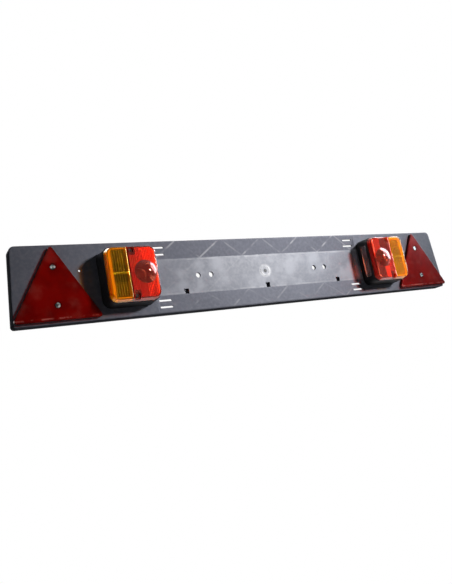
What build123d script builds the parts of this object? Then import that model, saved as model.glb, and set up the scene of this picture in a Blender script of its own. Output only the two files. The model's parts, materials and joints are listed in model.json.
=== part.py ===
from build123d import *
import math
import os

# Trailer lighting board, in millimetres.
# Pieces are drawn as the viewer sees them: x to the right, y up, z out of the board's front face.
# They are then stood up, so that the front faces -Y and +Z is up. The origin is at mid-length and
# mid-height, on the rear of the clamp pads.

# Board
board_length = 1040.0
board_height = 142.0
board_depth = 25.0
board_wall = 3.0
end_lean = 9.0
top_corner_radius = 10.0
bottom_corner_radius = 6.0
front_edge_radius = 2.5
rim_joint_clearance = 0.5

# Trough for the number plate, between the lamps
trough_depth = 5.0
trough_floor_height = 72.0
trough_end_run = 9.0
trough_edge_margin = 3.0
trough_lamp_margin = 3.6

# Gate mark in the middle of the trough
gate_ring_diameter = 22.0
gate_ring_width = 2.0
gate_pip_diameter = 4.0
gate_height = 0.5

# Diagonal ribs behind the board, crossing on the creases of the trough
rib_pitch = 99.0
rib_thickness = 2.0
rib_height = 10.0
rib_clearance = 3.5

# Clamp holes and the pads behind them
clamp_hole_diameter = 10.5
clamp_pair_pitch = 29.0
clamp_pair_offset = 144.2
clamp_pad_thickness = 2.0
clamp_pad_margin = 10.0

# Strap slots
slot_length = 27.0
slot_width = 4.0
slot_end_margin = 5.0
slot_heights = (45.3, 58.6)

# Square sockets for the number plate's clips
clip_hole_size = 10.0
clip_socket_wall = 2.0
clip_socket_end = 1.5
clip_spacing = 190.0
clip_crease_margin = 0.5

# Small holes between lamp and reflector
pilot_hole_diameter = 4.0
pilot_hole_height = 21.0
pilot_hole_gap = 33.0

# Triangular reflectors
reflector_side = 157.0
reflector_corner_radius = 4.5
reflector_end_margin = 1.8
reflector_bottom_margin = 4.5
reflector_back_thickness = 3.0
reflector_lens_thickness = 4.5
reflector_lens_hollow = 2.0
reflector_rim = 3.0
reflector_edge_radius = 1.0
reflector_screw_low = 27.0
reflector_screw_pitch = 68.0
reflector_boss_radius = 8.2
reflector_counterbore_depth = 2.6
reflector_counterbore_clearance = 1.5
reflector_back_spigot = 1.2
reflector_spigot_gap = 0.15

# Lamp housing
lamp_gap = 5.2
base_width = 102.0
base_height = 106.0
base_depth = 32.5
base_corner_radius = 16.5
base_wall = 2.5
base_draft = 2.6
divider_thickness = 2.4
wire_notch_width = 12.0
wire_notch_height = 6.0
wire_notch_drop = 12.0

# Lens
seal_thickness = 1.5
lens_step = 1.0
lens_depth = 14.0
lens_corner_radius = 15.0
lens_draft = 12.0
lens_wall = 2.4
lens_edge_radius = 2.8
seam_offset = 8.0
amber_panel_margin = 5.0
amber_panel_depth = 0.8
amber_panel_radius = 4.0
amber_bar_height = 2.4
flute_pitch = 4.5
flute_height = 1.2
flute_root = 0.4
flute_end_margin = 6.0
dome_radius = 21.5
dome_height = 8.5
dome_edge_margin = 2.6
dome_wall = 3.4

# Notches for the lens screws
lens_screw_inset = 6.0
notch_width = 9.0
notch_depth = 8.0
lens_boss_radius = 4.0
lens_boss_web = 2.0
lens_boss_hole_depth = 17.0

# Number plate window in the housing's inner wall
window_length = 72.0
window_width = 16.0
window_rim = 2.0
window_gap = 0.15
window_lip = 2.5
window_lip_thickness = 1.5

# Bulbs and their holders
bulb_lift = 19.5
bulb_ball_radius = 12.5
bulb_neck_radius = 6.8
bulb_neck_top_radius = 7.6
bulb_glass_length = 36.5
bulb_cap_radius = 7.5
bulb_cap_length = 17.0
bulb_pin_radius = 1.0
bulb_pin_reach = 1.1
bulb_pin_height = 9.0
socket_clearance = 0.25
socket_wall = 1.2
socket_sleeve_length = 16.0
socket_foot_length = 18.0
socket_slot_clearance = 0.3
socket_bottom_gap = 7.0
contact_thickness = 2.4
contact_nib_radius = 2.2
contact_nib_height = 0.6
socket_boss_radius = 4.5
socket_boss_height = 3.0
rivet_head_radius = 2.8
rivet_head_height = 1.4
rivet_radius = 1.5
rivet_length = 4.5
rivet_hole_clearance = 0.1

# Cable grommets
grommet_bore = 7.0
grommet_neck = 12.0
grommet_flange = 17.0
grommet_flange_thickness = 2.0
grommet_hole_clearance = 0.1
grommet_board_clearance = 1.5
grommet_top_margin = 17.0
grommet_dome_shift = 3.0

# Fasteners
bolt_radius = 2.4
bolt_hole_clearance = 0.35
bolt_head_radius = 4.7
bolt_head_height = 2.6
bolt_tip = 2.0
washer_radius = 5.0
washer_thickness = 1.0
nut_width = 8.0
nut_height = 4.0
nut_bore_clearance = 0.1
bolt_side_inset = 11.5
bolt_end_inset = 15.0
bolt_pad_radius = 7.0
bolt_pad_height = 1.5
lens_screw_radius = 1.9
lens_screw_head_radius = 3.6
lens_screw_head_height = 2.2
lens_screw_length = 18.0
lens_screw_hole_clearance = 0.1
head_bevel = 0.7
drive_width = 1.2
drive_depth = 1.2

# Places that follow from the sizes above
face_y = -(trough_depth + board_wall + clamp_pad_thickness)
half_height = board_height / 2
reflector_half_width = reflector_side / 2 - reflector_corner_radius * (math.sqrt(3) - 1)
reflector_x = board_length / 2 - reflector_end_margin - reflector_half_width
reflector_y = reflector_bottom_margin - half_height
reflector_front = reflector_back_thickness + reflector_lens_thickness
lamp_x = reflector_x - reflector_half_width - lamp_gap - base_width / 2
trough_half = lamp_x - base_width / 2 - trough_lamp_margin
trough_floor_rear = -(trough_depth + board_wall)
rib_back = -(board_wall + rib_height)
slot_x = trough_half - slot_end_margin - slot_length / 2
clip_y = clip_crease_margin + clip_hole_size / 2 - trough_floor_height / 2
base_shrink = base_depth * math.tan(math.radians(base_draft))
lens_width = base_width - 2 * (base_shrink + lens_step)
lens_height = base_height - 2 * (base_shrink + lens_step)
lens_low = base_depth + seal_thickness
lens_front = lens_low + lens_depth
lens_inner_front = lens_front - lens_wall
lens_shrink = lens_depth * math.tan(math.radians(lens_draft))
face_half_width = lens_width / 2 - lens_shrink
face_half_height = lens_height / 2 - lens_shrink
dome_x = face_half_width - dome_edge_margin - dome_radius
lens_screw_y = face_half_height - lens_screw_inset
notch_floor = lens_front - notch_depth
lens_boss_top = notch_floor - lens_wall
amber_x = -(base_width / 2 - base_wall + seam_offset + divider_thickness / 2) / 2
bulb_z = base_wall + bulb_lift
socket_bore = bulb_cap_radius + socket_clearance
socket_radius = socket_bore + socket_wall
socket_y = base_wall + socket_bottom_gap - base_height / 2
contact_y = socket_y + socket_wall
cap_y = contact_y + contact_thickness + contact_nib_height
glass_y = cap_y + bulb_cap_length
foot_z = base_wall + socket_boss_height
rivet_y = socket_y + socket_foot_length - 2 * rivet_head_radius
bolt_hole_radius = bolt_radius + bolt_hole_clearance
bolt_places = [
    (bolt_side_inset - base_width / 2, base_height / 2 - bolt_end_inset),
    (base_width / 2 - bolt_side_inset, bolt_end_inset - base_height / 2),
]
screw_places = [reflector_screw_low, reflector_screw_low + reflector_screw_pitch]
grommet_x = dome_x - grommet_dome_shift
grommet_y = base_height / 2 - base_wall - grommet_top_margin


def plate(sketch, low, high):
    """A flat outline raised from one height to another."""
    return extrude(Pos(0, 0, low) * sketch, amount=high - low)


def column(radius, low, high):
    return plate(Circle(radius), low, high)


def drafted(width, height, radius, low, high, draft):
    """A round-cornered block that narrows towards its front."""
    outline = RectangleRounded(width, height, radius)
    return Pos(0, 0, low) * extrude(outline, amount=high - low, taper=draft)


def beyond(x, side):
    """Everything on one side of an upright plane at x."""
    reach = board_length
    return Pos(x + side * reach / 2, 0, 0) * Box(reach, reach, reach)


# Board

def board_outline():
    half = board_length / 2
    corners = [
        (-half, -half_height),
        (half, -half_height),
        (half - end_lean, half_height),
        (end_lean - half, half_height),
    ]
    outline = Polygon(*corners, align=None)
    outline = fillet(outline.vertices().group_by(Axis.Y)[-1], top_corner_radius)
    return fillet(outline.vertices().group_by(Axis.Y)[0], bottom_corner_radius)


def trapezium(half_mouth, half_floor):
    """Section of the trough, open on the board's face."""
    corners = [(-half_floor, -trough_depth), (half_floor, -trough_depth), (half_mouth, 0), (-half_mouth, 0)]
    return Polygon(*corners, align=None)


def trough():
    """The space in front of the trough's floor: flat flanks and ends that slope down to it."""
    flanks = trapezium(half_height - trough_edge_margin, trough_floor_height / 2)
    ends = trapezium(trough_half, trough_half - trough_end_run)
    along = extrude(Plane.YZ * flanks, amount=trough_half, both=True)
    across = extrude(Plane.XZ * ends, amount=half_height, both=True)
    return along & across


def clamp_places():
    half = clamp_pair_pitch / 2
    return [side * clamp_pair_offset + step for side in (-1, 1) for step in (-half, half)]


def slot_places():
    return [(x, y) for x in (-slot_x, slot_x) for level in slot_heights for y in (-level, level)]


def clip_places():
    return [(step * clip_spacing, clip_y) for step in (-1, 0, 1)]


def fixing_places():
    """Bolts of both lamps and screws of both reflectors, as seen on the board."""
    places = []
    for side in (-1, 1):
        places += [(side * (lamp_x - x), y) for x, y in bolt_places]
        places += [(side * reflector_x, reflector_y + y) for y in screw_places]
    return places


def grommet_places():
    return [(side * (lamp_x - grommet_x), grommet_y) for side in (-1, 1)]


def rib_lattice(inside):
    """Diagonal ribs in plan, kept clear of the fixings, the cable holes and the slots."""
    rise = trough_floor_height / 2
    angle = math.degrees(math.atan2(rise, rib_pitch / 2))
    run = 2 * board_height / math.sin(math.radians(angle))
    count = math.ceil(board_length / rib_pitch / 2) + 1
    lattice = Sketch()
    for step in range(-count, count + 1):
        for turn in (angle, -angle):
            lattice += Pos(step * rib_pitch, 0) * Rot(0, 0, turn) * Rectangle(run, rib_thickness)
    lattice = lattice & inside
    for x, y in fixing_places():
        lattice -= Pos(x, y) * Circle(washer_radius + rib_clearance)
    for x, y in grommet_places():
        lattice -= Pos(x, y) * Circle(grommet_flange / 2 + rib_clearance)
    for x, y in slot_places():
        lattice -= Pos(x, y) * Rectangle(slot_length + 2 * rib_clearance, slot_width + 2 * rib_clearance)
    return lattice


def clamp_pads():
    length = clamp_pair_pitch + 2 * clamp_pad_margin
    width = 2 * clamp_pad_margin
    pad = plate(RectangleRounded(length, width, width / 4), -clamp_pad_thickness, board_wall / 2)
    return [Pos(side * clamp_pair_offset, 0, trough_floor_rear) * pad for side in (-1, 1)]


def gate_mark():
    outer = gate_ring_diameter / 2
    ring = Circle(outer) - Circle(outer - gate_ring_width) + Circle(gate_pip_diameter / 2)
    return plate(ring, -trough_depth - board_wall / 2, gate_height - trough_depth)


def board_rim():
    """The rim behind the ribs: four straight walls, and the four corners between them."""
    outline = board_outline()
    rim = plate(outline - offset(outline, -board_wall), -board_depth, rib_back)
    corner = max(top_corner_radius, bottom_corner_radius) + rim_joint_clearance
    long_walls = Box(board_length - 2 * (end_lean + corner), board_height, 2 * board_depth)
    end_walls = Box(board_length, board_height - 2 * corner, 2 * board_depth)
    pieces = [rim & long_walls, rim & end_walls, rim - long_walls - end_walls]
    return [solid for piece in pieces for solid in piece.solids()]


def make_board():
    """The board with its ribs, as deep as they are."""
    outline = board_outline()
    envelope = plate(outline, rib_back, 0)
    envelope = fillet(envelope.faces().sort_by(Axis.Z)[-1].edges(), front_edge_radius) - trough()
    hollow = plate(offset(outline, -board_wall), rib_back, -board_wall)
    hollow -= Pos(0, 0, -board_wall) * trough()
    lattice = rib_lattice(offset(outline, -board_wall / 2))
    board = envelope - hollow + (plate(lattice, rib_back, 0) & envelope)
    board += clamp_pads()
    board += gate_mark()
    socket = clip_hole_size + 2 * clip_socket_wall
    for x, y in clip_places():
        board += Pos(x, y) * plate(Rectangle(socket, socket), rib_back, trough_floor_rear + board_wall / 2)
        board -= Pos(x, y) * plate(Rectangle(clip_hole_size, clip_hole_size), rib_back + clip_socket_end, 0)
    for x in clamp_places():
        board -= Pos(x, 0) * column(clamp_hole_diameter / 2, -board_depth, 0)
    for x, y in slot_places():
        board -= Pos(x, y) * plate(SlotOverall(slot_length, slot_width), -board_depth, 0)
    for x, y in fixing_places():
        board -= Pos(x, y) * column(bolt_hole_radius, -board_depth, 0)
    for x, y in grommet_places():
        board -= Pos(x, y) * column(grommet_flange / 2 + grommet_board_clearance, -board_depth, 0)
    for side in (-1, 1):
        x = side * (lamp_x + base_width / 2 + pilot_hole_gap)
        board -= Pos(x, pilot_hole_height) * column(pilot_hole_diameter / 2, -board_depth, 0)
    return board


# Reflectors

def triangle():
    """An upright triangle with its base on y = 0."""
    half = reflector_side / 2
    outline = Polygon((-half, 0), (half, 0), (0, half * math.sqrt(3)), align=None)
    return fillet(outline.vertices(), reflector_corner_radius)


def reflector_back():
    """A flat plate with a spigot that fills the mouth of the lens's hollow."""
    low = reflector_back_thickness
    high = low + reflector_back_spigot
    back = plate(triangle(), 0, low)
    back += plate(offset(triangle(), -reflector_rim - reflector_spigot_gap), 0, high)
    for y in screw_places:
        back -= Pos(0, y) * column(reflector_boss_radius + reflector_spigot_gap, low, high)
        back -= Pos(0, y) * column(bolt_hole_radius, 0, high)
    return back


def reflector_lens():
    low = reflector_back_thickness
    lens = plate(triangle(), low, reflector_front)
    lens = fillet(lens.faces().sort_by(Axis.Z)[-1].edges(), reflector_edge_radius)
    hollow = offset(triangle(), -reflector_rim)
    for y in screw_places:
        hollow -= Pos(0, y) * Circle(reflector_boss_radius)
    lens -= plate(hollow, low, low + reflector_lens_hollow)
    seat = reflector_front - reflector_counterbore_depth
    for y in screw_places:
        lens -= Pos(0, y) * column(bolt_hole_radius, low, reflector_front)
        lens -= Pos(0, y) * column(bolt_head_radius + reflector_counterbore_clearance, seat, reflector_front)
    return lens


# Lamp housing

def base_block(inset, low, high):
    """The housing's outside, or the same shape drawn in by an inset."""
    gone = 2 * (inset + low * math.tan(math.radians(base_draft)))
    radius = base_corner_radius - gone / 2
    return drafted(base_width - gone, base_height - gone, radius, low, high, base_draft)


def window_opening(grow, reach):
    """A block through the inner wall, as large as the window with some growth all round."""
    high = base_depth - window_rim - base_wall
    middle = high - window_width / 2
    block = Box(reach, window_length + 2 * grow, window_width + 2 * grow)
    return Pos(base_width / 2, 0, middle) * block


def lens_boss(y):
    """A post for one lens screw, webbed to the wall behind it."""
    post = Pos(0, y) * column(lens_boss_radius, base_wall / 2, lens_boss_top)
    web_length = base_height / 2 - abs(y)
    web_y = math.copysign(abs(y) + web_length / 2, y)
    web = Pos(0, web_y) * plate(Rectangle(lens_boss_web, web_length), base_wall / 2, base_depth)
    return post + (web & base_block(0, 0, base_depth))


def lamp_base():
    base = base_block(0, 0, base_depth) - base_block(base_wall, base_wall, base_depth)
    divider = Pos(-seam_offset, 0) * plate(Rectangle(divider_thickness, base_height), 0, base_depth)
    notch = Pos(-seam_offset, base_height / 2 - base_wall - wire_notch_drop) * plate(
        Rectangle(2 * divider_thickness, wire_notch_width), base_wall, base_wall + wire_notch_height
    )
    base += (divider - notch) & base_block(0, 0, base_depth)
    for y in (-lens_screw_y, lens_screw_y):
        base += lens_boss(y)
        hole = column(lens_screw_radius + lens_screw_hole_clearance, -lens_boss_hole_depth, 0)
        base -= Pos(0, y, lens_boss_top) * hole
    for x, y in bolt_places:
        base += Pos(x, y) * column(bolt_pad_radius, base_wall / 2, base_wall + bolt_pad_height)
        base -= Pos(x, y) * column(bolt_hole_radius, 0, base_wall + bolt_pad_height)
    for x in (amber_x, dome_x):
        base += Pos(x, rivet_y) * column(socket_boss_radius, base_wall / 2, foot_z)
        hole = column(rivet_radius + rivet_hole_clearance, socket_wall - rivet_length, 0)
        base -= Pos(x, rivet_y, foot_z) * hole
    base -= Pos(grommet_x, grommet_y) * column(grommet_neck / 2 + grommet_hole_clearance, 0, base_wall)
    return base - window_opening(0, 4 * base_wall + 2 * base_shrink)


def plate_window():
    """A clear plug flush with the housing's wall, with a lip behind it."""
    reach = 4 * (base_wall + window_lip_thickness) + 2 * base_shrink
    outside = base_block(0, 0, base_depth)
    inside = base_block(base_wall, base_wall, base_depth)
    behind = base_block(base_wall + window_lip_thickness, base_wall, base_depth)
    plug = (outside - inside) & window_opening(-window_gap, reach)
    lip = (inside - behind) & window_opening(window_lip, reach)
    return plug + lip


def lens_seal():
    """A flat gasket on the housing's rim, with a bar along the divider."""
    rim_inset = base_shrink + base_wall
    inner_width = base_width - 2 * rim_inset
    inner_height = base_height - 2 * rim_inset
    outer = RectangleRounded(lens_width, lens_height, lens_corner_radius)
    ring = outer - RectangleRounded(inner_width, inner_height, base_corner_radius - rim_inset)
    bar = Pos(-seam_offset, 0) * Rectangle(2 * lens_wall, lens_height) & outer
    return plate(ring + bar, base_depth, lens_low)


# Lens

def lens_outside(side):
    """One colour's half of the lens as a solid pillow with rounded front edges."""
    block = drafted(lens_width, lens_height, lens_corner_radius, lens_low, lens_front, lens_draft)
    half = block & beyond(-seam_offset, side)
    return fillet(half.faces().sort_by(Axis.Z)[-1].edges(), lens_edge_radius)


def lens_inside(side):
    """The hollow behind that half, one wall inside it all round."""
    width = lens_width - 2 * lens_wall
    height = lens_height - 2 * lens_wall
    radius = lens_corner_radius - lens_wall
    block = drafted(width, height, radius, lens_low, lens_inner_front, lens_draft)
    return block & beyond(side * lens_wall - seam_offset, side)


def amber_flutes():
    """Upright prisms behind the amber face."""
    start = flute_end_margin - face_half_width
    stop = -seam_offset - flute_end_margin
    count = int((stop - start) / flute_pitch)
    length = 2 * (face_half_height - flute_end_margin)
    root = lens_inner_front + flute_root
    tip = lens_inner_front - flute_height
    profile = Polygon((-flute_pitch / 2, root), (0, tip), (flute_pitch / 2, root), align=None)
    tooth = extrude(Plane.XZ * profile, amount=length / 2, both=True)
    first = (start + stop) / 2 - (count - 1) * flute_pitch / 2
    return [Pos(first + step * flute_pitch, 0, 0) * tooth for step in range(count)]


def amber_lens():
    lens = lens_outside(-1) - lens_inside(-1)
    lens += amber_flutes()
    width = face_half_width - seam_offset - 2 * amber_panel_margin
    height = face_half_height - amber_panel_margin - amber_bar_height / 2
    panel = plate(RectangleRounded(width, height, amber_panel_radius), -amber_panel_depth, 0)
    x = -(face_half_width + seam_offset) / 2
    y = (amber_bar_height + height) / 2
    for side in (-1, 1):
        lens -= Pos(x, side * y, lens_front) * panel
    return lens


def dome(radius, height, low):
    """A shallow ball cap that stands on the lens face."""
    ball = (radius**2 + height**2) / (2 * height)
    cap = Pos(0, 0, lens_front + height - ball) * Sphere(ball)
    return Pos(dome_x, 0) * (cap & plate(Circle(2 * radius), low, lens_front + height))


def dome_hollow():
    """A tapering recess behind the dome."""
    depth = dome_height + lens_wall - dome_wall
    cone = Cone(dome_radius - lens_wall / 2, dome_radius / 2, depth)
    return Pos(dome_x, 0, lens_inner_front + depth / 2) * cone


def screw_notch(y, grow, floor):
    """A notch open to the front and to the lens's edge, around one lens screw."""
    radius = notch_width / 2 + grow
    reach = lens_screw_inset + lens_shrink + lens_wall
    outline = Circle(radius) + Pos(0, math.copysign(reach / 2, y)) * Rectangle(2 * radius, reach)
    return Pos(0, y) * plate(outline, floor, lens_front)


def red_lens():
    outside = lens_outside(1) + dome(dome_radius, dome_height, lens_inner_front)
    inside = lens_inside(1)
    for y in (-lens_screw_y, lens_screw_y):
        outside -= screw_notch(y, 0, notch_floor)
        inside -= screw_notch(y, lens_wall, lens_boss_top)
    lens = outside - inside - dome_hollow()
    for y in (-lens_screw_y, lens_screw_y):
        lens -= Pos(0, y) * column(lens_screw_radius + bolt_hole_clearance, lens_boss_top, notch_floor)
    return lens


# Bulbs and their holders, each drawn along y above its own foot

def upright(shape):
    """Turns a piece drawn along z so that it stands along y."""
    return Rot(-90, 0, 0) * shape


def bulb_socket():
    """A bayonet sleeve on a folded foot, with a slot and a side pocket for each pin."""
    sleeve = column(socket_radius, 0, socket_wall + socket_sleeve_length)
    sleeve -= column(socket_bore, socket_wall, socket_wall + socket_sleeve_length)
    pin = bulb_pin_radius + socket_slot_clearance
    pin_level = cap_y - socket_y + bulb_pin_height
    slot_top = socket_wall + socket_sleeve_length
    sleeve -= plate(Rectangle(4 * pin, 4 * socket_radius), pin_level - pin, pin_level + pin)
    sleeve -= plate(Rectangle(2 * pin, 4 * socket_radius), pin_level, slot_top)
    drop = bulb_z - foot_z
    width = 2 * socket_radius
    back = plate(Pos(0, drop / 2) * Rectangle(width, drop), 0, socket_wall)
    foot = plate(Pos(0, drop - socket_wall / 2) * Rectangle(width, socket_wall), 0, socket_foot_length)
    hole = Rot(90, 0, 0) * column(rivet_radius + rivet_hole_clearance, 0, socket_wall)
    foot -= Pos(0, drop, rivet_y - socket_y) * hole
    return upright(sleeve + back + foot)


def bulb_contact():
    disc = column(bulb_cap_radius, 0, contact_thickness)
    return upright(disc + column(contact_nib_radius, 0, contact_thickness + contact_nib_height))


def bulb_cap():
    across = Cylinder(bulb_pin_radius, 2 * (bulb_cap_radius + bulb_pin_reach))
    pins = Pos(0, 0, bulb_pin_height) * Rot(90, 0, 0) * across
    return upright(column(bulb_cap_radius, 0, bulb_cap_length) + pins)


def bulb_glass():
    """A round glass on a slightly flared neck."""
    centre = bulb_glass_length - bulb_ball_radius
    join = centre - math.sqrt(bulb_ball_radius**2 - bulb_neck_top_radius**2)
    foot = Line((0, 0), (bulb_neck_radius, 0))
    neck = Line((bulb_neck_radius, 0), (bulb_neck_top_radius, join))
    ball = ThreePointArc((bulb_neck_top_radius, join), (bulb_ball_radius, centre), (0, bulb_glass_length))
    axis = Line((0, bulb_glass_length), (0, 0))
    return revolve(make_face([foot, neck, ball, axis]), Axis.Y)


def rivet():
    head = column(rivet_head_radius, socket_wall, socket_wall + rivet_head_height)
    return chamfer(head.edges().sort_by(Axis.Z)[-1], head_bevel) + column(
        rivet_radius, socket_wall - rivet_length, socket_wall
    )


def cable_grommet():
    neck = column(grommet_neck / 2, 0, base_wall)
    front = column(grommet_flange / 2, base_wall, base_wall + grommet_flange_thickness)
    rear = column(grommet_flange / 2, -grommet_flange_thickness, 0)
    bore = column(grommet_bore / 2, -grommet_flange_thickness, base_wall + grommet_flange_thickness)
    return neck + front + rear - bore


# Fasteners, each drawn with the underside of its head on z = 0

def screw(head_radius, head_height, radius, length):
    head = column(head_radius, 0, head_height)
    head = chamfer(head.edges().sort_by(Axis.Z)[-1], head_bevel)
    for turn in (0, 90):
        cross = plate(Rectangle(head_radius, drive_width), head_height - drive_depth, head_height)
        head -= Rot(0, 0, turn) * cross
    return head + column(radius, -length, 0)


def washer():
    return plate(Circle(washer_radius) - Circle(bolt_hole_radius), -washer_thickness, 0)


def nut():
    hexagon = RegularPolygon(nut_width / 2, 6, major_radius=False)
    return plate(hexagon - Circle(bolt_radius + nut_bore_clearance), -nut_height, 0)


def through_bolt(seat):
    """A bolt from a seat in front of the board to a little past the nut behind it."""
    length = seat + board_wall + washer_thickness + nut_height + bolt_tip
    return Pos(0, 0, seat) * screw(bolt_head_radius, bolt_head_height, bolt_radius, length)


# Groups

def both_sides(shapes):
    """Pieces of the left-hand side with their mirror images on the right."""
    return shapes + [mirror(shape, about=Plane.YZ) for shape in shapes]


def on_lamp(shape, places):
    return both_sides([Pos(x - lamp_x, y) * shape for x, y in places])


def on_reflector(shape):
    return both_sides([Pos(-reflector_x, reflector_y + y) * shape for y in screw_places])


def holder_nodes(name, x):
    """One bulb with its holder, in both lamps."""
    return {
        name + "_sockets": on_lamp(Pos(x, socket_y, bulb_z) * bulb_socket(), [(0, 0)]),
        name + "_contacts": on_lamp(Pos(x, contact_y, bulb_z) * bulb_contact(), [(0, 0)]),
        name + "_bulb_caps": on_lamp(Pos(x, cap_y, bulb_z) * bulb_cap(), [(0, 0)]),
        name + "_bulb_glasses": on_lamp(Pos(x, glass_y, bulb_z) * bulb_glass(), [(0, 0)]),
    }


def paired_nodes():
    """Pieces with a node of their own on each side."""
    at_lamp = Pos(-lamp_x, 0)
    at_reflector = Pos(-reflector_x, reflector_y)
    left = {
        "reflector_back": at_reflector * reflector_back(),
        "reflector_lens": at_reflector * reflector_lens(),
        "lamp_base": at_lamp * lamp_base(),
        "plate_window": at_lamp * plate_window(),
        "lens_seal": at_lamp * lens_seal(),
        "amber_lens": at_lamp * amber_lens(),
        "red_lens": at_lamp * red_lens(),
    }
    nodes = {}
    for name, shape in left.items():
        nodes["left_" + name], nodes["right_" + name] = ([piece] for piece in both_sides([shape]))
    return nodes


def fastener_nodes():
    behind_board = Pos(0, 0, -board_wall)
    behind_washer = Pos(0, 0, -board_wall - washer_thickness)
    lens_screw = Pos(0, 0, notch_floor) * screw(
        lens_screw_head_radius, lens_screw_head_height, lens_screw_radius, lens_screw_length
    )
    return {
        "reflector_screws": on_reflector(through_bolt(reflector_front - reflector_counterbore_depth)),
        "reflector_washers": on_reflector(behind_board * washer()),
        "reflector_nuts": on_reflector(behind_washer * nut()),
        "lamp_bolts": on_lamp(through_bolt(base_wall + bolt_pad_height), bolt_places),
        "lamp_washers": on_lamp(behind_board * washer(), bolt_places),
        "lamp_nuts": on_lamp(behind_washer * nut(), bolt_places),
        "lens_screws": on_lamp(lens_screw, [(0, -lens_screw_y), (0, lens_screw_y)]),
        "socket_rivets": on_lamp(Pos(0, 0, foot_z) * rivet(), [(amber_x, rivet_y), (dome_x, rivet_y)]),
        "cable_grommets": on_lamp(cable_grommet(), [(grommet_x, grommet_y)]),
    }


def main():
    nodes = {"board": [make_board()], "board_rim": board_rim()}
    nodes.update(paired_nodes())
    nodes.update(holder_nodes("indicator", amber_x))
    nodes.update(holder_nodes("stop", dome_x))
    nodes.update(fastener_nodes())
    stand = Plane(origin=(0, face_y, 0), x_dir=(1, 0, 0), z_dir=(0, -1, 0)).location
    os.makedirs("parts", exist_ok=True)
    for name, shapes in nodes.items():
        solids = [solid for shape in shapes for solid in (stand * shape).solids()]
        export_step(solids[0] if len(solids) == 1 else Compound(solids), f"parts/{name}.step")


main()
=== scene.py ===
import json
import math

import bmesh
import bpy
from mathutils import Matrix, Vector


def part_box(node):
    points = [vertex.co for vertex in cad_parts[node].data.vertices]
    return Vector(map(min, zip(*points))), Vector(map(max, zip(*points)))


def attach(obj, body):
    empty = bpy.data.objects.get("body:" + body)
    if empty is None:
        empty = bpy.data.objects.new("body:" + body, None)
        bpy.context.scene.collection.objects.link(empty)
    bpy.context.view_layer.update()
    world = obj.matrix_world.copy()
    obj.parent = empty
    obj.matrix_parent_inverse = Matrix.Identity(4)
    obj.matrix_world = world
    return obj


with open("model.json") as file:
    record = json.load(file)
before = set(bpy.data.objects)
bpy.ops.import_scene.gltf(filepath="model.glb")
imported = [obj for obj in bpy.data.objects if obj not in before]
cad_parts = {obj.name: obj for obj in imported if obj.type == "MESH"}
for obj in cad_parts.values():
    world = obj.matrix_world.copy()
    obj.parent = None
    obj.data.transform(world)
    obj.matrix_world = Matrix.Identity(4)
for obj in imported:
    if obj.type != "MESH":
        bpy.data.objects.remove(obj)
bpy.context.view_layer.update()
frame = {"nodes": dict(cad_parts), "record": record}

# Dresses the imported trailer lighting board. Lengths are in metres, and the front of the board faces -Y.

MM = 0.001

# Camera, as the photograph was taken: from the left, a little below the board, and tilted
CAMERA_PLACE = Vector((-0.7103, -1.0292, -0.2580))
CAMERA_FORWARD = Vector((0.5010, 0.8463, 0.1811))
CAMERA_UP = Vector((0.0729, -0.2497, 0.9656))
LENS_MM = 37.21
SENSOR_MM = 36.0

# Light: a key from the right and a little above, a window that shows in gloss and through glass but leaves
# matt surfaces alone, a lamp behind for the other sides, and a weak fill from all round
KEY_PLACE = Vector((1.25, -1.82, 0.64))
KEY_AIM = Vector((0.06, 0.0, 0.13))
KEY_SIZE = 0.32
KEY_SPREAD = math.radians(29)
KEY_WATTS = 1.66
WINDOW_PLACE = Vector((1.33, -0.25, 0.68))
WINDOW_SIZE = 1.45
WINDOW_WATTS = 75.0
WINDOW_COLOUR = (0.76, 0.88, 1.0)
BACK_PLACE = Vector((-0.5, 1.6, 0.9))
BACK_SIZE = 1.4
BACK_WATTS = 25.0
BOARD_MIDDLE = Vector((0, 0, 0))
FILL_COLOUR = (0.95, 0.97, 1.0, 1)
FILL_STRENGTH = 0.02

# Floor: pale, and white towards its rim, between two shares of its radius
FLOOR_DROP = 1.05
FLOOR_RADIUS = 1.15
FLOOR_SEGMENTS = 96
FLOOR_WHITE = 0.75
FLOOR_FADE = (0.3, 0.98)
FLOOR_GREYS = ((0.84, 0.84, 0.84), (0.88, 0.88, 0.88))

# Board: the ribs behind it show on its face as pale lines, and the moulding gate as a pale ring
RIB_PITCH = 99 * MM
RIB_RUN_PER_RISE = 49.5 / 36.0
RIB_MARK_HALF = 2.4 * MM
RIB_MARK_CORE = 0.3 * RIB_MARK_HALF
RIB_MARK_REACH = 258 * MM
RIB_MARK_FADE = 5 * MM
RIB_ON_FIELD = 0.12
RIB_ON_LOWER_FLANK = 0.45
CROSSING_RIB = 0.45
GATE_RING = 10.5 * MM
GATE_RING_HALF = 6 * MM
GATE_RING_CORE = 0.1 * GATE_RING_HALF
GATE_PIP = 5 * MM
GATE_PIP_CORE = 0.6 * GATE_PIP

# Board: the field between its creases is scuffed and shiny, and the sides and back are darker, as painted
# shade
FIELD_HALF = 36 * MM
FIELD_EDGE_BLUR = 1 * MM
FIELD_REACH = 262 * MM
FIELD_END_BLUR = 8 * MM
FIELD_GLOSS = 0.18
FLANK_GLOSS = 0.03
CREASE_BLUR = 2 * MM
# Width of the painted highlight along the creases
CREASE_HIGHLIGHT_WIDTH = 2.5 * MM
FRONT_GREYS = ((0.202, 0.209, 0.254), (0.226, 0.234, 0.285))
SHADED_SIDE_GREYS = ((0.098, 0.101, 0.118), (0.122, 0.126, 0.146))
MOTTLE_GREY = (0.29, 0.297, 0.35)
SCUFFED_GREY = (0.41, 0.418, 0.48)
# Pale grey of the rib marks, and of the painted highlight along the creases
RIB_MARK_AND_HIGHLIGHT_GREY = (0.62, 0.62, 0.66)
GATE_WHITE = (0.82, 0.82, 0.85)
PIP_BLACK = (0.02, 0.02, 0.023)

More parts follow.
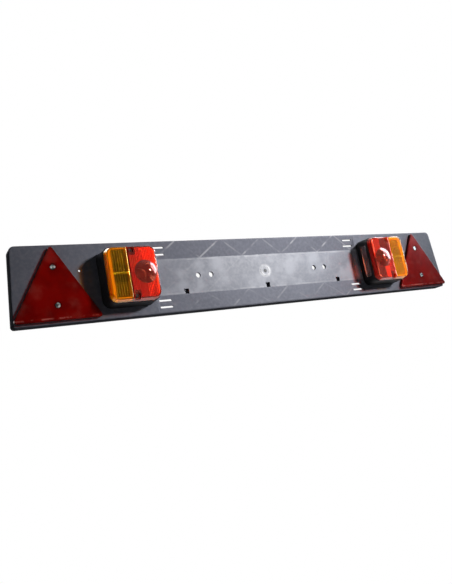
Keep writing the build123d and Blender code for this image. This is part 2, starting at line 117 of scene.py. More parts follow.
# Lens sizes that the prisms behind it keep to
LENS_DEPTH = 14 * MM
LENS_WALL = 2.4 * MM
LENS_SLOPE = math.tan(math.radians(12))
LENS_CORNER = 10.1 * MM
DOME_OPENING = 20.6 * MM
NOTCH_HALF = 7.3 * MM
NOTCH_REACH = 13.2 * MM
AMBER_FLUTE = 1.2 * MM
PRISM_GAP = 0.2 * MM
PRISM_PITCH = 3.0 * MM
PRISM_HEIGHT = 1.4 * MM
SHEET = 1.0 * MM
CORNER_STEPS = 8
LINING_STEPS = 12

# Prisms in lit and shaded copies of one material: painted flashes and shade, not the same in both lamps
PANEL_LOOKS = {
    "left": {"upper_middle": "bright", "upper_outer": "bright", "upper_inner": "flashing",
             "lower_middle": "middling", "lower_outer": "middling", "lower_inner": "bright"},
    "right": {"upper_middle": "deep", "upper_outer": "deep", "upper_inner": "bright",
              "lower_middle": "middling", "lower_outer": "flashing", "lower_inner": "deep"},
}

# Amber panel: its bright frame, the bar across it and the rows of prisms above and below the bar
FRAME_WIDTH = 6.0 * MM
FRAME_EDGE = 3.0 * MM
FRAME_BLUR_IN = 2 * MM
FRAME_BLUR_OUT = 1 * MM
SEAM_MARGIN = 3.0 * MM
ROW_STEP = 18.0 * MM
ROW_BLUR = 3 * MM
ROW_GAP = 0.2 * MM
BAR_HALF = 1.6 * MM
BAR_BLUR = 0.6 * MM
SIDE_BLUR = 1 * MM
# The frame's golden colour paints the glow of light scattered in the amber's thick edges
FRAME_GLOW_AMBER = (0.90, 0.48, 0.018)
# Painted highlight on the bar across the rows
BAR_HIGHLIGHT_AMBER = (0.95, 0.66, 0.025)
# Row tones are painted light and shade: darkest across the bar, brighter below it
LOWER_OLIVE = (0.24, 0.125, 0.003)
SHADED_MIDDLE_OLIVE = (0.09, 0.040, 0.001)
UPPER_OLIVE = (0.17, 0.090, 0.002)
STREAKED_OLIVE = (0.36, 0.17, 0.004)
PAINTED_FLASH_AMBER = (0.90, 0.44, 0.008)

# Prisms behind the triangular reflectors
REFLECTOR_DEPTH = 7.5 * MM
REFLECTOR_SEAT = 4.25 * MM
REFLECTOR_RIM = 3.3 * MM
REFLECTOR_BOSS = 8.4 * MM
REFLEX_PITCH = 4.0 * MM
REFLEX_FOOT = 0.1 * MM
REFLEX_HEIGHT = 0.6 * MM
SCREW_HEAD = 4.7 * MM

# Acrylic: the colour of its shine, the dust on the red lenses, and a painted highlight along their foot
ACRYLIC_IOR = 1.49
REFLECTOR_IOR = 1.16
REFLECTOR_SHINE = (1.0, 0.06, 0.05, 1)
RED_SHINE = (1.0, 0.25, 0.20, 1)
AMBER_SHINE = (1.0, 0.60, 0.03, 1)
ACRYLIC_DUST_AND_HIGHLIGHT = (0.85, 0.32, 0.27)
FOOT_HIGHLIGHT_HEIGHT = 4.0 * MM
FOOT_HIGHLIGHT_HALF = 2.2 * MM
FOOT_HIGHLIGHT_CORE = 0.2 * FOOT_HIGHLIGHT_HALF
SCRATCH_ROUGHNESS = 0.06


# Materials

class Look:
    """One material: its Principled shader, with short ways to add nodes to it.

    The plain colour and the constants stay on the shader's sockets, for programs that drop links.
    """

    def __init__(self, name, colour, roughness, **constants):
        self.material = bpy.data.materials.new(name)
        self.material.use_nodes = True
        self.tree = self.material.node_tree
        self.shader = self.tree.nodes["Principled BSDF"]
        self.shader.inputs["Base Color"].default_value = (*colour, 1)
        self.shader.inputs["Roughness"].default_value = roughness
        for socket, value in constants.items():
            self.shader.inputs[socket.replace("_", " ")].default_value = value
        self.coordinates = self.add("ShaderNodeTexCoord")
        self.place = self.coordinates.outputs["Object"]

    def add(self, kind, inputs=(), **settings):
        node = self.tree.nodes.new(kind)
        for name, value in settings.items():
            setattr(node, name, value)
        for index, value in inputs:
            if isinstance(value, bpy.types.NodeSocket):
                self.tree.links.new(value, node.inputs[index])
            else:
                node.inputs[index].default_value = value
        return node

    def math(self, operation, first, second=0.0):
        return self.add("ShaderNodeMath", [(0, first), (1, second)], operation=operation).outputs[0]

    def product(self, first, *others):
        for other in others:
            first = self.math("MULTIPLY", first, other)
        return first

    def axes(self, vector):
        return self.add("ShaderNodeSeparateXYZ", [(0, vector)]).outputs

    def noise(self, scale, detail=3.0, stretch=(1, 1, 1)):
        place = self.add("ShaderNodeMapping", [("Vector", self.place), ("Scale", stretch)]).outputs[0]
        inputs = [("Vector", place), ("Scale", scale), ("Detail", detail)]
        return self.add("ShaderNodeTexNoise", inputs).outputs["Fac"]

    def ramp(self, value, low, high, to_low=0.0, to_high=1.0):
        """Goes smoothly from to_low to to_high while the value goes from low to high."""
        inputs = [("Value", value), ("From Min", low), ("From Max", high)]
        inputs += [("To Min", to_low), ("To Max", to_high)]
        return self.add("ShaderNodeMapRange", inputs, interpolation_type="SMOOTHSTEP").outputs["Result"]

    def within(self, distance, full, none, level=1.0):
        """A level that holds near zero on either side, and falls to nothing between two distances."""
        return self.ramp(self.math("ABSOLUTE", distance), full, none, level, 0.0)

    def mix(self, factor, first, second):
        node = self.add("ShaderNodeMix", data_type="RGBA")
        sockets = {socket.identifier: socket for socket in node.inputs}
        self.tree.links.new(factor, sockets["Factor_Float"])
        for name, colour in (("A_Color", first), ("B_Color", second)):
            if isinstance(colour, bpy.types.NodeSocket):
                self.tree.links.new(colour, sockets[name])
            else:
                sockets[name].default_value = (*colour, 1)
        return next(socket for socket in node.outputs if socket.identifier == "Result_Color")

    def colour(self, socket):
        self.tree.links.new(socket, self.shader.inputs["Base Color"])

    def roughness(self, socket):
        self.tree.links.new(socket, self.shader.inputs["Roughness"])

    def gloss(self, socket):
        self.tree.links.new(socket, self.shader.inputs["Specular IOR Level"])

    def bump(self, height, strength, distance):
        inputs = [("Height", height), ("Strength", strength), ("Distance", distance)]
        normal = self.add("ShaderNodeBump", inputs).outputs["Normal"]
        self.tree.links.new(normal, self.shader.inputs["Normal"])

    def look_white(self, share):
        """Mostly white to the camera, in gloss and through glass, with the rest left to take shadows."""
        path = self.add("ShaderNodeLightPath").outputs
        seen = self.math("MAXIMUM", path["Is Camera Ray"], path["Is Glossy Ray"])
        seen = self.math("MAXIMUM", seen, path["Is Transmission Ray"])
        white = self.add("ShaderNodeEmission", [("Strength", 1.0)]).outputs[0]
        self.blend_shaders(self.product(seen, share), white)

    def let_lamps_through(self, tint):
        """Lamps shine through the glass with its tint, so that what is behind it is lit."""
        clear = self.add("ShaderNodeBsdfTransparent", [("Color", (*tint, 1))]).outputs[0]
        self.blend_shaders(self.add("ShaderNodeLightPath").outputs["Is Shadow Ray"], clear)

    def blend_shaders(self, factor, other):
        inputs = [(0, factor), (1, self.shader.outputs[0]), (2, other)]
        both = self.add("ShaderNodeMixShader", inputs).outputs[0]
        self.tree.links.new(both, self.tree.nodes["Material Output"].inputs["Surface"])


def rib_marks(look, across, up):
    """Pale lines where a rib stands behind the face: strongest on the upper flank, faint on the field."""
    slant = math.sin(math.atan2(1, RIB_RUN_PER_RISE))
    lines = []
    for lean, strength in ((-RIB_RUN_PER_RISE, 1.0), (RIB_RUN_PER_RISE, CROSSING_RIB)):
        along = look.math("ADD", across, look.product(up, lean))
        distance = look.product(look.math("PINGPONG", along, RIB_PITCH / 2), slant)
        lines.append(look.ramp(distance, RIB_MARK_CORE, RIB_MARK_HALF, strength, 0.0))
    inside = look.within(across, RIB_MARK_REACH, RIB_MARK_REACH + RIB_MARK_FADE)
    upper = look.ramp(up, FIELD_HALF - CREASE_BLUR, FIELD_HALF + CREASE_BLUR, RIB_ON_FIELD, 1.0)
    lower = look.ramp(up, -FIELD_HALF - CREASE_BLUR, -FIELD_HALF + CREASE_BLUR, RIB_ON_LOWER_FLANK, 0.0)
    return look.product(look.math("MAXIMUM", *lines), inside, look.math("MAXIMUM", upper, lower))


def gate_marks(look, across, up):
    """A pale worn ring round the moulding gate, and the dark pip in its middle."""
    squares = [look.math("POWER", axis, 2.0) for axis in (across, up)]
    radius = look.math("SQRT", look.math("ADD", *squares))
    worn = look.ramp(look.noise(70.0), 0.35, 0.6, 0.35, 0.9)
    ring = look.within(look.math("SUBTRACT", radius, GATE_RING), GATE_RING_CORE, GATE_RING_HALF)
    return look.product(ring, worn), look.within(radius, GATE_PIP_CORE, GATE_PIP)


def crease_highlight(look, up):
    """A painted highlight along the two creases of the field, where their edges would catch the light."""
    off_crease = look.math("SUBTRACT", FIELD_HALF - CREASE_HIGHLIGHT_WIDTH, look.math("ABSOLUTE", up))
    return look.within(off_crease, 0.0, CREASE_HIGHLIGHT_WIDTH, level=0.55)


def board_grey(look, facing, mottle):
    """Grey with a pale mottle in front, and a darker grey on the sides and back as painted shade."""
    patches = look.ramp(look.noise(9.0, detail=5.0, stretch=(1, 1, 2)), 0.3, 0.7)
    front_grey = look.mix(patches, *FRONT_GREYS)
    mottled = look.mix(look.ramp(mottle, 0.35, 0.7, 0.0, 0.5), front_grey, MOTTLE_GREY)
    # Sides and back, turned away from the front, take the darker grey: painted shade
    turned_away = look.ramp(facing, -0.5, -0.2)
    return look.mix(turned_away, mottled, look.mix(patches, *SHADED_SIDE_GREYS))


def board_plastic():
    """Grey plastic: fine grain, scuffed field, pale rib and gate marks, painted highlight on the creases.
    """
    look = Look("board_plastic", (0.21, 0.215, 0.25), 0.4, Specular_IOR_Level=0.15)
    place = look.axes(look.place)
    across, up = place["X"], place["Z"]
    facing = look.axes(look.coordinates.outputs["Normal"])["Y"]
    front = look.ramp(facing, -0.95, -0.6, 1.0, 0.0)
    mottle = look.noise(160.0)
    broken = look.ramp(look.noise(42.0), 0.38, 0.62, 0.05, 0.7)
    between = look.within(across, FIELD_REACH - FIELD_END_BLUR, FIELD_REACH + FIELD_END_BLUR)
    level = look.within(up, FIELD_HALF - FIELD_EDGE_BLUR, FIELD_HALF + FIELD_EDGE_BLUR)
    field = look.product(level, between, front)
    scuffs = look.product(look.ramp(look.noise(24.0, detail=6.0), 0.42, 0.68, 0.0, 0.75), field)
    scuffed = look.mix(scuffs, board_grey(look, facing, mottle), SCUFFED_GREY)
    ribs = look.product(rib_marks(look, across, up), broken)
    # Painted highlight along the creases, mixed in with the rib marks
    creases = look.product(crease_highlight(look, up), broken, between)
    marked_and_highlit = look.mix(look.product(look.math("MAXIMUM", ribs, creases), front), scuffed, RIB_MARK_AND_HIGHLIGHT_GREY)
    ring, pip = gate_marks(look, across, up)
    ringed = look.mix(look.product(ring, front), marked_and_highlit, GATE_WHITE)
    look.colour(look.mix(look.product(pip, front), ringed, PIP_BLACK))
    look.roughness(look.ramp(mottle, 0.3, 0.7, 0.41, 0.37))
    look.gloss(look.product(front, look.ramp(field, 0.0, 1.0, FLANK_GLOSS, FIELD_GLOSS)))
    grain = look.product(look.noise(1400.0, detail=1.0), 0.6)
    look.bump(look.math("ADD", mottle, grain), strength=0.12, distance=0.15 * MM)
    return look.material


def black_plastic():
    """Black plastic with a little dust."""
    look = Look("black_plastic", (0.010, 0.010, 0.011), 0.42, Specular_IOR_Level=0.12)
    dust = look.noise(30.0, detail=5.0)
    look.colour(look.mix(look.ramp(dust, 0.45, 0.8), (0.008, 0.008, 0.009), (0.020, 0.020, 0.020)))
    look.roughness(look.ramp(dust, 0.3, 0.8, 0.36, 0.55))
    look.bump(look.noise(900.0, detail=2.0), strength=0.2, distance=0.1 * MM)
    return look.material


def foot_highlight(look, foot):
    """A broken painted highlight a little above the foot of a lens, where its edge would catch light."""
    off_line = look.math("SUBTRACT", look.axes(look.place)["Z"], foot + FOOT_HIGHLIGHT_HEIGHT)
    broken = look.ramp(look.noise(90.0, detail=4.0), 0.42, 0.62, 0.0, 0.8)
    return look.product(look.within(off_line, FOOT_HIGHLIGHT_CORE, FOOT_HIGHLIGHT_HALF), broken)


def scratch_acrylic(look, roughness):
    """Fine upright scratches, and a face that isn't quite flat."""
    scratches = look.noise(260.0, detail=4.0, stretch=(1, 1, 0.06))
    look.roughness(look.ramp(scratches, 0.5, 0.8, roughness, roughness + SCRATCH_ROUGHNESS))
    look.bump(look.noise(120.0, detail=2.0), strength=0.03, distance=0.1 * MM)


def red_acrylic(name, pale, deep, roughness, tint, dust, foot, **constants):
    """Red acrylic, uneven in depth of colour, with dust patches, a painted foot highlight and fine
    scratches.
    """
    look = Look(name, deep, roughness, **constants)
    body = look.mix(look.ramp(look.noise(30.0), 0.35, 0.7), pale, deep)
    patches = look.ramp(look.noise(36.0, detail=6.0), 0.48, 0.72, 0.0, dust)
    dust_and_highlight = look.math("MAXIMUM", patches, foot_highlight(look, foot))
    # Dust patches, and the painted highlight along the foot, in one pale colour
    look.colour(look.mix(dust_and_highlight, body, ACRYLIC_DUST_AND_HIGHLIGHT))
    scratch_acrylic(look, roughness)
    look.let_lamps_through(tint)
    return look.material


def reflector_red():
    """The triangles: deep red, only partly clear, with a dull shine and more dust than the lamps."""
    low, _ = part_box("left_reflector_lens")
    return red_acrylic("reflector_red", (0.40, 0.007, 0.004), (0.27, 0.004, 0.003), roughness=0.14,
                       tint=(0.75, 0.10, 0.08), dust=0.12, foot=low.z, IOR=REFLECTOR_IOR,
                       Transmission_Weight=0.45, Specular_Tint=REFLECTOR_SHINE)


def lamp_red():
    """The red of the lamps: clear enough to show the prisms and the bulb holder behind it."""
    low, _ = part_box("left_red_lens")
    return red_acrylic("lamp_red", (0.94, 0.180, 0.080), (0.87, 0.140, 0.060), roughness=0.04,
                       tint=(0.92, 0.30, 0.20), dust=0.03, foot=low.z, IOR=ACRYLIC_IOR,
                       Transmission_Weight=0.95, Specular_Tint=RED_SHINE, Subsurface_Weight=1.0,
                       Subsurface_Radius=(5 * MM, 1 * MM, 0.5 * MM), Subsurface_Scale=1.0)


def amber_rows(look, across, up):
    """Olive rows, with painted shade by the bar, a painted flash on the right lamp and a painted highlight
    on the bar.
    """
    rows = look.mix(look.ramp(up, -ROW_STEP, -ROW_STEP + ROW_BLUR), LOWER_OLIVE, SHADED_MIDDLE_OLIVE)
    rows = look.mix(look.ramp(up, ROW_STEP - ROW_BLUR, ROW_STEP), rows, UPPER_OLIVE)
    rows = look.mix(look.ramp(look.noise(130.0), 0.35, 0.7, 0.0, 0.35), rows, STREAKED_OLIVE)
    # The right lamp's rows get a painted flash
    on_right = look.ramp(across, -SIDE_BLUR, SIDE_BLUR, 0.0, 0.85)
    rows = look.mix(on_right, rows, PAINTED_FLASH_AMBER)
    # The bar gets a painted highlight
    return look.mix(look.within(up, BAR_HALF, BAR_HALF + BAR_BLUR), rows, BAR_HIGHLIGHT_AMBER)


def lamp_amber():
    """Amber acrylic with a frame round its rows of prisms, painted golden as the glow in its thick edges.
    """
    roughness = 0.05
    look = Look("lamp_amber", (0.92, 0.40, 0.02), roughness, IOR=ACRYLIC_IOR, Transmission_Weight=0.86,
                Specular_Tint=AMBER_SHINE, Subsurface_Weight=1.0,
                Subsurface_Radius=(6 * MM, 3 * MM, 0.5 * MM), Subsurface_Scale=1.0)
    place = look.axes(look.place)
    across, up = place["X"], place["Z"]
    low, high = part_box("right_amber_lens")
    inner = low.x + SEAM_MARGIN
    outer = high.x - LENS_DEPTH * LENS_SLOPE - FRAME_WIDTH
    half_width = (outer - inner) / 2
    half_height = high.z - LENS_DEPTH * LENS_SLOPE - FRAME_EDGE
    off_middle = look.math("SUBTRACT", look.math("ABSOLUTE", across), (inner + outer) / 2)
    beside = look.within(off_middle, half_width - FRAME_BLUR_IN, half_width + FRAME_BLUR_OUT)
    level = look.within(up, half_height - FRAME_BLUR_IN, half_height + FRAME_BLUR_OUT)
    look.colour(look.mix(look.product(beside, level), FRAME_GLOW_AMBER, amber_rows(look, across, up)))
    scratch_acrylic(look, roughness)
    look.let_lamps_through((0.95, 0.62, 0.16))
    return look.material


def prism_plastic(name, pale, deep, mirror=0.0):
    """The backs of the prisms, seen through the acrylic; some turn light back like mirrors."""
    look = Look(name, pale, 0.3, Specular_IOR_Level=0.0, Metallic=mirror)
    look.colour(look.mix(look.ramp(look.noise(55.0), 0.3, 0.75), pale, deep))
    look.bump(look.noise(500.0, detail=2.0), strength=0.1, distance=0.1 * MM)
    return look.material


def rubber():
    """Black rubber with a pale bloom."""
    look = Look("rubber", (0.02, 0.02, 0.02), 0.75, Specular_IOR_Level=0.25)
    bloom = look.noise(90.0, detail=4.0)
    look.colour(look.mix(look.ramp(bloom, 0.4, 0.8), (0.014, 0.014, 0.015), (0.045, 0.044, 0.042)))
    look.bump(bloom, strength=0.2, distance=0.2 * MM)
    return look.material


def metal(name, plain, spots, roughness):
    """Metal with rougher spots of another tone: tarnish, and painted glints on the reflector screws' dark
    zinc.
    """
    look = Look(name, plain, roughness, Metallic=1.0)
    spotted = look.noise(160.0, detail=5.0)
    look.colour(look.mix(look.ramp(spotted, 0.4, 0.75), plain, spots))
    look.roughness(look.ramp(spotted, 0.3, 0.8, roughness, roughness + 0.2))
    look.bump(look.noise(700.0, detail=2.0), strength=0.08, distance=0.1 * MM)
    return look.material


def clear_glass(name, roughness):
    """Clear acrylic or glass with patches of haze."""
    clear = (0.93, 0.95, 0.96)
    look = Look(name, clear, roughness, Transmission_Weight=1.0, IOR=ACRYLIC_IOR, Specular_IOR_Level=0.4)
    haze = look.noise(60.0, detail=4.0)
    look.roughness(look.ramp(haze, 0.35, 0.75, roughness, roughness + 0.15))
    look.colour(look.mix(look.ramp(haze, 0.4, 0.8), clear, (0.80, 0.80, 0.79)))
    look.let_lamps_through((0.85, 0.87, 0.88))
    return look.material


def dress_nodes():
    """Gives every CAD node its material by the record's slot, with painted shade and glints on the screws
    in front.
    """
    looks = {
        "board_plastic": board_plastic(),
        "black_plastic": black_plastic(),
        "reflector_red": reflector_red(),
        "lamp_red": lamp_red(),
        "lamp_amber": lamp_amber(),
        "clear_window": clear_glass("clear_window", 0.12),
        "bulb_glass": clear_glass("bulb_glass", 0.0),
        "rubber": rubber(),
        "zinc": metal("zinc", (0.48, 0.48, 0.46), (0.26, 0.25, 0.23), 0.30),
        "brass": metal("brass", (0.74, 0.55, 0.25), (0.50, 0.36, 0.16), 0.30),
    }
    screws = {
        # Lens screws: darkened as painted shade of their notches
        "lens_screws": metal("painted_shade_zinc", (0.055, 0.055, 0.052), (0.02, 0.019, 0.018), 0.20),
        # Reflector screws: dark as painted shade of their recesses, with bright spots as painted glints
        "reflector_screws": metal("shaded_zinc_with_painted_glints", (0.035, 0.035, 0.034), (0.48, 0.48, 0.46), 0.20),
    }
    for row in frame["record"]["subparts"]:
        materials = frame["nodes"][row["node"]].data.materials
        materials.clear()
        materials.append(screws.get(row["node"], looks[row["material_slot"]]))


# Pieces

def finish_piece(mesh, name, material):
    bmesh.ops.recalc_face_normals(mesh, faces=mesh.faces)
    data = bpy.data.meshes.new(name)
    mesh.to_mesh(data)
    mesh.free()
    data.materials.append(material)
    piece = bpy.data.objects.new(name, data)
    bpy.context.scene.collection.objects.link(piece)
    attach(piece, "root")


def closed_strip(mesh, rows):
    """Joins rows of points, each a closed section, into one solid with flat ends."""
    rings = [[mesh.verts.new(point) for point in row] for row in rows]
    for ring, after in zip(rings, rings[1:]):
        for i in range(len(ring)):
            j = (i + 1) % len(ring)
            mesh.faces.new((ring[i], ring[j], after[j], after[i]))
    mesh.faces.new(rings[0])
    mesh.faces.new(rings[-1])


def saw_profile(start, stop, crest, foot, height):
    """Points of a row of prisms whose crest lies at a share of each pitch."""
    count = max(1, round((stop - start) / PRISM_PITCH))
    step = (stop - start) / count
    points = [(start, foot)]
    for i in range(count):
        points.append((start + (i + crest) * step, foot + height))
        points.append((start + (i + 1) * step, foot))
    return points


class Lamp:
    """One lamp's own places: across towards the board's middle, up, and out from the lens's face."""

    def __init__(self, side):
        red_low, red_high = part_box(side + "_red_lens")
        amber_low, amber_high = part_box(side + "_amber_lens")
        base_low, base_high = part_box(side + "_lamp_base")
        self.side = side
        self.inward = 1 if side == "left" else -1
        self.middle = (base_low.x + base_high.x) / 2
        self.face = amber_low.y
        self.foot_half_width = max(red_high.x - self.middle, self.middle - red_low.x)
        self.foot_half_height = red_high.z
        seam_x = amber_high.x if side == "left" else amber_low.x
        self.seam = self.inward * (seam_x - self.middle)
        points = [vertex.co for vertex in frame["nodes"][side + "_red_lens"].data.vertices]
        dome_tip = min(points, key=lambda point: point.y)
        self.dome = self.inward * (dome_tip.x - self.middle)

    def place(self, across, up, out):
        return Vector((self.middle + self.inward * across, self.face - out, up))

    def hollow(self, out):
        """Half width and half height of the lens's hollow at one depth, less a small gap."""
        shrink = LENS_WALL + PRISM_GAP + (LENS_DEPTH + out) * LENS_SLOPE
        return self.foot_half_width - shrink, self.foot_half_height - shrink

    def sheet(self, name, profile, low, high, base, material, slot):
        """A closed sheet whose front follows a profile of (across, out), between two edge curves."""
        mesh = bmesh.new()
        rows = []
        for across, out in profile:
            bottom, top = low(across), high(across)
            section = [(bottom, out), (top, out), (top, base), (bottom, base)]
            rows.append([self.place(across, up, depth) for up, depth in section])
        closed_strip(mesh, rows)
        finish_piece(mesh, f"{self.side}_{name}", material)


def corner_drop(across, half_width):
    """How far the hollow's rounded corner falls below its top at one place across."""
    turn = min(LENS_CORNER, max(0.0, abs(across) - (half_width - LENS_CORNER)))
    return LENS_CORNER - math.sqrt(LENS_CORNER**2 - turn**2)


def red_prisms(lamp, looks):
    """Panels of prisms behind the red face, round the dome and clear of the screw notches."""
    crest = -LENS_WALL - PRISM_GAP
    foot = crest - PRISM_HEIGHT
    base = foot - SHEET
    half_width, half_height = lamp.hollow(crest)
    seam = lamp.seam + LENS_WALL + PRISM_GAP
    middle_edge = half_height - NOTCH_REACH

    def rim(across):
        return half_height - corner_drop(across, half_width)

    def middle_rim(across):
        return middle_edge

    def dome_edge(across):
        return max(ROW_GAP, math.sqrt(max(0.0, DOME_OPENING**2 - (across - lamp.dome) ** 2)))

    # Where each panel starts and stops across, its crest's share of the pitch, its rim, and up or down
    panels = {
        "upper_middle": (seam, NOTCH_HALF, 0.65, middle_rim, 1),
        "upper_outer": (NOTCH_HALF, lamp.dome, 0.15, rim, 1),
        "upper_inner": (lamp.dome, half_width, 0.5, rim, 1),
        "lower_middle": (seam, NOTCH_HALF, 0.65, middle_rim, -1),
        "lower_outer": (NOTCH_HALF, lamp.dome, 0.85, rim, -1),
        "lower_inner": (lamp.dome, half_width, 0.15, rim, -1),
    }
    for name, (start, stop, crest_share, edge, level) in panels.items():
        profile = saw_profile(start, stop, crest_share, foot, PRISM_HEIGHT)
        # Each panel takes a lit or shaded copy of the prism material, which paints its flash or shade
        lamp.sheet(f"red_{name}_prisms", profile, lambda a: level * dome_edge(a), lambda a: level * edge(a),
                   base, looks[PANEL_LOOKS[lamp.side][name]], "lamp_red")


def lining_path(lamp, start):
    """Points along the hollow's edge, as shares of its half sizes, each with its outward direction."""
    half_width, half_height = lamp.hollow(-LENS_DEPTH)
    corner = LENS_CORNER
    step = (half_width - corner - start) / LINING_STEPS
    path = [((start + i * step) / half_width, 1.0, (0, 1)) for i in range(LINING_STEPS)]
    for i in range(CORNER_STEPS + 1):
        turn = math.radians(90) * (1 - i / CORNER_STEPS)
        across = half_width - corner + corner * math.cos(turn)
        up = half_height - corner + corner * math.sin(turn)
        path.append((across / half_width, up / half_height, (math.cos(turn), math.sin(turn))))
    straight = half_height - corner
    for i in range(1, LINING_STEPS + 1):
        path.append((1.0, straight * (1 - i / LINING_STEPS) / half_height, (1, 0)))
    mirrored = [(across, -up, (outward[0], -outward[1])) for across, up, outward in reversed(path)]
    return path + mirrored[1:]


def side_lining(lamp, name, side, start, material):
    """A lining behind a lens's side walls, from one screw notch round to the other.

    Every other section is twice as thick at its foot, which makes the flutes.
    """
    top = -LENS_WALL - 2 * PRISM_GAP - PRISM_HEIGHT - SHEET - AMBER_FLUTE
    low = PRISM_GAP - LENS_DEPTH
    mesh = bmesh.new()
    rows = []
    for index, (across, up, outward) in enumerate(lining_path(lamp, start)):
        section = []
        for out, depth in ((low, 0.0), (top, 0.0), (top, SHEET), (low, SHEET * (1 + index % 2))):
            half_width, half_height = lamp.hollow(out)
            reach = Vector((across * half_width, up * half_height)) - Vector(outward) * depth
            section.append(lamp.place(side * reach.x, reach.y, out))
        rows.append(section)
    closed_strip(mesh, rows)
    finish_piece(mesh, f"{lamp.side}_{name}", material)


def row_edge(share, inner):
    """Height of a row's edge: a share of the way from the bar to the frame, up or down."""
    return math.copysign(BAR_HALF + abs(share) * (inner - BAR_HALF), share)


def amber_prisms(lamp, looks):
    """A sheet behind the amber, painted bright as glow, with rows of darker prisms on it above and below a
    bar.
    """
    crest = -LENS_WALL - AMBER_FLUTE - PRISM_GAP
    foot = crest - PRISM_HEIGHT
    half_width, half_height = lamp.hollow(crest)
    stop = lamp.seam - LENS_WALL - PRISM_GAP

    def rim(across):
        return half_height - corner_drop(across, half_width)

    edge = [-half_width + i * LENS_CORNER / CORNER_STEPS for i in range(CORNER_STEPS + 1)]
    profile = [(across, foot) for across in [*edge, stop]]
    lamp.sheet("amber_glow_sheet", profile, lambda a: -rim(a), rim, foot - SHEET, looks["frame"], "lamp_amber")
    start = FRAME_WIDTH - half_width
    stop -= FRAME_WIDTH / 2
    inner = half_height - FRAME_EDGE

    # Each row's lower and upper edge, as shares of the way to the frame, its crest's share, and its look
    rows = {
        "upper": (0.50, 1.0, 0.5, "middling"),
        "over_bar": (0.0, 0.50, 0.8, "dark"),
        "under_bar": (-0.45, 0.0, 0.8, "dark"),
        "middle": (-0.75, -0.45, 0.7, "middling"),
        "lower": (-1.0, -0.75, 0.6, "middling"),
    }
    for name, (low, high, crest_share, look) in rows.items():
        bottom = row_edge(low, inner) + ROW_GAP
        top = row_edge(high, inner) - ROW_GAP
        profile = saw_profile(start, stop, crest_share, foot, PRISM_HEIGHT)
        lamp.sheet(f"amber_{name}_prisms", profile, lambda a: bottom, lambda a: top,
                   foot, looks[look], "lamp_amber")


def reflector_screw_places(side):
    """Middles of the screws on one reflector, across and up."""
    low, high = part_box(side + "_reflector_lens")
    screw_low, screw_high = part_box("reflector_screws")
    middle = (low.x + high.x) / 2
    return [(middle, screw_low.z + SCREW_HEAD), (middle, screw_high.z - SCREW_HEAD)]


def add_pyramid(mesh, place):
    """A square pyramid on a thin foot, pointing to the front."""
    half = REFLEX_PITCH / 2
    square = [(-half, -half), (half, -half), (half, half), (-half, half)]
    back = [mesh.verts.new(place + Vector((x, 0, z))) for x, z in square]
    ring = [mesh.verts.new(place + Vector((x, -REFLEX_FOOT, z))) for x, z in square]
    tip = mesh.verts.new(place - Vector((0, REFLEX_FOOT + REFLEX_HEIGHT, 0)))
    mesh.faces.new(back)
    for i in range(4):
        j = (i + 1) % 4
        mesh.faces.new((back[i], back[j], ring[j], ring[i]))
        mesh.faces.new((ring[i], ring[j], tip))


def reflex_prisms(side, material):
    """Small pyramids behind the reflector's face, in rows that narrow towards its top."""
    low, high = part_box(side + "_reflector_lens")
    middle = (low.x + high.x) / 2
    seat = low.y + REFLECTOR_DEPTH - REFLECTOR_SEAT
    foot = low.z + REFLECTOR_RIM
    rows = int((high.z - REFLECTOR_RIM - foot) / REFLEX_PITCH)
    half_foot = (high.x - low.x) / 2 - REFLECTOR_RIM
    screws = reflector_screw_places(side)
    mesh = bmesh.new()
    for row in range(rows):
        up = foot + (row + 0.5) * REFLEX_PITCH
        count = int(half_foot * (1 - (row + 1) / rows) / REFLEX_PITCH)
        for column in range(-count, count + 1):
            across = middle + column * REFLEX_PITCH
            if min(math.hypot(across - x, up - z) for x, z in screws) > REFLECTOR_BOSS + REFLEX_PITCH / 2:
                add_pyramid(mesh, Vector((across, seat, up)))
    finish_piece(mesh, f"{side}_reflex_prisms", material)


def red_prism_looks():
    # Lit and shaded copies of one red prism material: painted flashes, painted light and painted shade
    return {
        "flashing": prism_plastic("painted_flash_red_prism", (0.98, 0.78, 0.62), (0.94, 0.68, 0.54), 0.85),
        "bright": prism_plastic("painted_lit_red_prism", (0.55, 0.33, 0.25), (0.46, 0.27, 0.195), 0.8),
        "middling": prism_plastic("red_prism", (0.46, 0.12, 0.08), (0.36, 0.09, 0.06), 0.7),
        "deep": prism_plastic("painted_shade_red_prism", (0.05, 0.008, 0.012), (0.03, 0.005, 0.008)),
    }


def amber_prism_looks():
    return {
        # Bright sheet that paints the glow of light at the amber's frame
        "frame": prism_plastic("amber_glow_sheet", (0.95, 0.72, 0.25), (0.90, 0.62, 0.18)),
        # Darker prisms across the bar: painted shade
        "dark": prism_plastic("painted_shade_amber_prism", (0.10, 0.07, 0.02), (0.06, 0.04, 0.01)),
        "middling": prism_plastic("amber_prism", (0.22, 0.15, 0.03), (0.15, 0.10, 0.02)),
    }


def add_pieces():
    """Adds the prisms and linings behind the lenses and the reflectors of both sides."""
    red_looks = red_prism_looks()
    amber_looks = amber_prism_looks()
    # Linings behind the side walls: dark behind the red as painted shade, bright behind the amber as
    # painted glow
    red_shade_lining = prism_plastic("red_shade_lining", (0.30, 0.04, 0.03), (0.16, 0.015, 0.012))
    amber_glow_lining = prism_plastic("amber_glow_lining", (0.95, 0.70, 0.25), (0.85, 0.55, 0.15), 0.6)
    reflex = prism_plastic("reflex_prism", (0.32, 0.04, 0.03), (0.20, 0.02, 0.02), 0.7)
    for side in ("left", "right"):
        lamp = Lamp(side)
        red_prisms(lamp, red_looks)
        side_lining(lamp, "red_shade_lining", 1, NOTCH_HALF, red_shade_lining)
        side_lining(lamp, "amber_glow_lining", -1, LENS_WALL + PRISM_GAP - lamp.seam, amber_glow_lining)
        amber_prisms(lamp, amber_looks)
        reflex_prisms(side, reflex)


# Studio

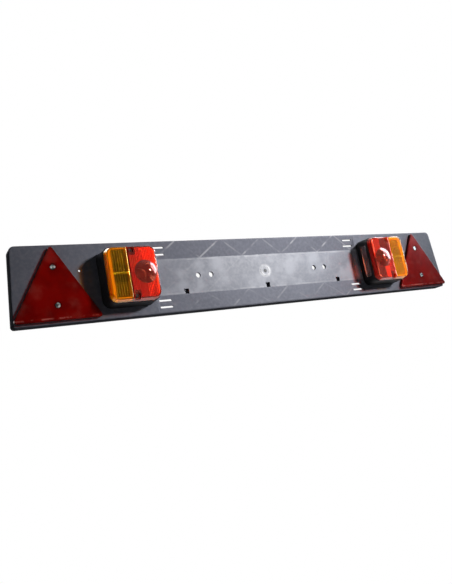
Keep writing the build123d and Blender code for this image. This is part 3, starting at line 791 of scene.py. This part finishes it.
def add_floor():
    """A pale round floor well below the board, which keeps its shadow and fades to white at its rim."""
    mesh = bmesh.new()
    bmesh.ops.create_circle(mesh, cap_ends=True, segments=FLOOR_SEGMENTS, radius=FLOOR_RADIUS)
    data = bpy.data.meshes.new("floor")
    mesh.to_mesh(data)
    mesh.free()
    look = Look("floor", (0.86, 0.86, 0.86), 0.8, Specular_IOR_Level=0.1)
    look.colour(look.mix(look.ramp(look.noise(3.0), 0.3, 0.7), *FLOOR_GREYS))
    reach = look.add("ShaderNodeVectorMath", [(0, look.place)], operation="LENGTH").outputs["Value"]
    start, stop = (share * FLOOR_RADIUS for share in FLOOR_FADE)
    look.look_white(look.ramp(reach, start, stop, FLOOR_WHITE, 1.0))
    data.materials.append(look.material)
    floor = bpy.data.objects.new("floor", data)
    floor.location.z = -FLOOR_DROP
    bpy.context.scene.collection.objects.link(floor)


def add_world():
    """White where the camera, a reflection or a view through glass meets it, and a weak fill elsewhere."""
    world = bpy.data.worlds.new("studio")
    world.use_nodes = True
    tree = world.node_tree
    shown = tree.nodes["Background"]
    shown.inputs["Color"].default_value = (1, 1, 1, 1)
    fill = tree.nodes.new("ShaderNodeBackground")
    fill.inputs["Color"].default_value = FILL_COLOUR
    fill.inputs["Strength"].default_value = FILL_STRENGTH
    path = tree.nodes.new("ShaderNodeLightPath")
    seen = path.outputs["Is Camera Ray"]
    for name in ("Is Glossy Ray", "Is Transmission Ray"):
        either = tree.nodes.new("ShaderNodeMath")
        either.operation = "MAXIMUM"
        tree.links.new(seen, either.inputs[0])
        tree.links.new(path.outputs[name], either.inputs[1])
        seen = either.outputs[0]
    both = tree.nodes.new("ShaderNodeMixShader")
    tree.links.new(seen, both.inputs[0])
    tree.links.new(fill.outputs[0], both.inputs[1])
    tree.links.new(shown.outputs[0], both.inputs[2])
    tree.links.new(both.outputs[0], tree.nodes["World Output"].inputs["Surface"])
    bpy.context.scene.world = world


def add_light(name, place, aim, size, watts, spread=math.pi):
    data = bpy.data.lights.new(name, "AREA")
    data.shape = "DISK"
    data.size = size
    data.energy = watts
    data.spread = spread
    light = bpy.data.objects.new(name, data)
    light.location = place
    light.rotation_euler = (aim - place).to_track_quat("-Z", "Y").to_euler()
    bpy.context.scene.collection.objects.link(light)
    return light


def add_lights():
    key = add_light("key", KEY_PLACE, KEY_AIM, KEY_SIZE, KEY_WATTS, KEY_SPREAD)
    # Bent through the lenses, the key would draw bright lines on the prisms
    key.visible_transmission = False
    add_light("back", BACK_PLACE, BOARD_MIDDLE, BACK_SIZE, BACK_WATTS)
    window = add_light("window", WINDOW_PLACE, BOARD_MIDDLE, WINDOW_SIZE, WINDOW_WATTS)
    window.data.color = WINDOW_COLOUR
    window.visible_diffuse = False


def add_camera():
    data = bpy.data.cameras.new("camera")
    data.lens = LENS_MM
    data.sensor_width = SENSOR_MM
    camera = bpy.data.objects.new("camera", data)
    forward = CAMERA_FORWARD.normalized()
    right = forward.cross(CAMERA_UP).normalized()
    turn = Matrix((right, right.cross(forward), -forward)).transposed()
    camera.matrix_world = Matrix.Translation(CAMERA_PLACE) @ turn.to_4x4()
    bpy.context.scene.collection.objects.link(camera)
    bpy.context.scene.camera = camera


add_camera()
add_world()
add_floor()
add_lights()
dress_nodes()
add_pieces()
bpy.context.scene.view_settings.view_transform = "Standard"
